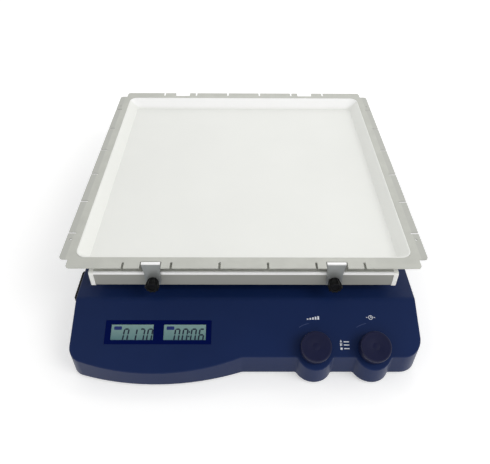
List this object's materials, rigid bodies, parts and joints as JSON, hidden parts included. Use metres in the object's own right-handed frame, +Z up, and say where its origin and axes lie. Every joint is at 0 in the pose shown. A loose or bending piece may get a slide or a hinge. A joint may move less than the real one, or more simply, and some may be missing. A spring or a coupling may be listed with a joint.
{
  "type": "orbital shaker",
  "caption": "Flat bench-top orbital shaker: blue housing with a sloping control panel and a square slotted tray on a platform that circles without turning.",
  "frame": {"origin": "on the bench under the middle of the whole shaker's box, at the bottom of the rubber feet; X = 0 is the drive axis and the housing's middle, which the tray stands 2.3 mm left of at rest", "axes": "+Z up, -Y towards the control panel and its operator, +X to the operator's right"},
  "size_m": [0.386, 0.4583, 0.1051],
  "materials": {
    "housing_blue": "powder-coated dark blue, fine texture, semi-matt",
    "window_blue": "glossy deep blue printed window",
    "display_grey": "grey-green liquid-crystal display under clear glass",
    "knob_plastic": "moulded dark violet-blue, satin",
    "black_plastic": "moulded black, satin",
    "rocker_black": "moulded black, glossy",
    "rubber": "matt black",
    "screw_steel": "zinc-plated",
    "sheet_steel": "galvanised sheet",
    "shaft_steel": "turned and ground",
    "bearing_steel": "polished rings, dark shields",
    "motor_iron": "dark lacquer",
    "weight_iron": "as cast",
    "cast_aluminium": "cast and machined",
    "bar_aluminium": "extruded, clear anodised, satin",
    "clamp_steel": "stainless, lightly brushed",
    "tray_metal": "light warm grey, satin",
    "liner_white": "white, satin, faint grain",
    "cap_white": "white, moulded, satin",
    "board_green": "green solder mask with black and grey parts",
    "pin_brass": "nickel-tinted brass"
  },
  "bodies": {
    "root": {"base_housing": "housing_blue", "bottom_plate": "sheet_steel", "plate_screws": "screw_steel", "rubber_feet": "rubber", "display_window": "window_blue", "speed_display": "display_grey", "time_display": "display_grey", "display_board": "board_green", "encoder_board": "board_green", "speed_encoder": "screw_steel", "time_encoder": "screw_steel", "main_bearings": "bearing_steel", "idler_bearings": "bearing_steel", "drive_belt": "rubber", "motor_mount": "sheet_steel", "mount_screws": "screw_steel", "motor_stator": "motor_iron", "control_board": "board_green", "power_board": "board_green", "switch_frame": "black_plastic", "power_inlet": "black_plastic", "inlet_pins": "pin_brass", "inlet_screws": "screw_steel"},
    "drive": {"eccentric_shaft": "shaft_steel", "driven_pulley": "cast_aluminium", "counterweight": "weight_iron"},
    "rotor": {"motor_rotor": "motor_iron", "motor_pulley": "cast_aluminium"},
    "platform": {"platform_plate": "cast_aluminium", "pin_bearing": "bearing_steel", "socket_bearings": "bearing_steel", "front_bar": "bar_aluminium", "rear_bar": "bar_aluminium", "tray": "tray_metal", "tray_liner": "liner_white", "left_clamp": "clamp_steel", "right_clamp": "clamp_steel", "front_left_cap": "cap_white", "front_right_cap": "cap_white", "rear_left_cap": "cap_white", "rear_right_cap": "cap_white"},
    "left_screw": {"left_thumb_screw": "black_plastic"},
    "right_screw": {"right_thumb_screw": "black_plastic"},
    "rocker": {"power_rocker": "rocker_black"},
    "drawer": {"fuse_drawer": "black_plastic"},
    "idler_1": {"idler_crank_1": "shaft_steel"},
    "idler_2": {"idler_crank_2": "shaft_steel"},
    "idler_3": {"idler_crank_3": "shaft_steel"},
    "idler_4": {"idler_crank_4": "shaft_steel"},
    "speed_plunger": {"speed_slider": "black_plastic"},
    "speed_dial": {"speed_spindle": "screw_steel", "speed_knob": "knob_plastic"},
    "time_plunger": {"time_slider": "black_plastic"},
    "time_dial": {"time_spindle": "screw_steel", "time_knob": "knob_plastic"}
  },
  "joints": [
    {"name": "drive_spin", "type": "hinge", "parent": "root", "child": "drive", "pos_m": [0, 0.032, 0.0564], "axis": [0, 0, 1], "continuous": true},
    {"name": "platform_orbit", "type": "hinge", "parent": "drive", "child": "platform", "pos_m": [-0.0023, 0.03644, 0.076], "axis": [0, 0, 1], "continuous": true},
    {"name": "rotor_spin", "type": "hinge", "parent": "root", "child": "rotor", "pos_m": [-0.1, 0.032, 0.03], "axis": [0, 0, 1], "continuous": true},
    {"name": "idler_1_spin", "type": "hinge", "parent": "root", "child": "idler_1", "pos_m": [-0.115, -0.078, 0.0564], "axis": [0, 0, 1], "continuous": true},
    {"name": "idler_2_spin", "type": "hinge", "parent": "root", "child": "idler_2", "pos_m": [-0.115, 0.142, 0.0564], "axis": [0, 0, 1], "continuous": true},
    {"name": "idler_3_spin", "type": "hinge", "parent": "root", "child": "idler_3", "pos_m": [0.115, -0.078, 0.0564], "axis": [0, 0, 1], "continuous": true},
    {"name": "idler_4_spin", "type": "hinge", "parent": "root", "child": "idler_4", "pos_m": [0.115, 0.142, 0.0564], "axis": [0, 0, 1], "continuous": true},
    {"name": "left_screw_turn", "type": "hinge", "parent": "platform", "child": "left_screw", "pos_m": [-0.0987, -0.14776, 0.08], "axis": [0, -1, 0], "continuous": true},
    {"name": "right_screw_turn", "type": "hinge", "parent": "platform", "child": "right_screw", "pos_m": [0.0941, -0.14776, 0.08], "axis": [0, -1, 0], "continuous": true},
    {"name": "speed_push", "type": "slide", "parent": "root", "child": "speed_plunger", "axis": [0, 0.3971, -0.9178], "range_m": [0, 0.0012], "stiffness_N_per_m": 800, "springref_m": -0.002},
    {"name": "speed_turn", "type": "hinge", "parent": "speed_plunger", "child": "speed_dial", "pos_m": [0.0721, -0.2059, 0.03468], "axis": [0, -0.3971, 0.9178], "continuous": true},
    {"name": "time_push", "type": "slide", "parent": "root", "child": "time_plunger", "axis": [0, 0.3971, -0.9178], "range_m": [0, 0.0012], "stiffness_N_per_m": 800, "springref_m": -0.002},
    {"name": "time_turn", "type": "hinge", "parent": "time_plunger", "child": "time_dial", "pos_m": [0.1333, -0.2059, 0.03468], "axis": [0, -0.3971, 0.9178], "continuous": true},
    {"name": "rocker_tilt", "type": "hinge", "parent": "root", "child": "rocker", "pos_m": [-0.185, -0.128, 0.035], "axis": [0, 0, 1], "range_deg": [-10, 0]},
    {"name": "drawer_slide", "type": "slide", "parent": "root", "child": "drawer", "axis": [0, 1, 0], "range_m": [0, 0.016]}
  ],
  "couplings": [
    {"joint": "platform_orbit", "follows": "drive_spin", "ratio": -1},
    {"joint": "rotor_spin", "follows": "drive_spin", "ratio": 3},
    {"joint": "idler_1_spin", "follows": "drive_spin", "ratio": 1},
    {"joint": "idler_2_spin", "follows": "drive_spin", "ratio": 1},
    {"joint": "idler_3_spin", "follows": "drive_spin", "ratio": 1},
    {"joint": "idler_4_spin", "follows": "drive_spin", "ratio": 1}
  ]
}
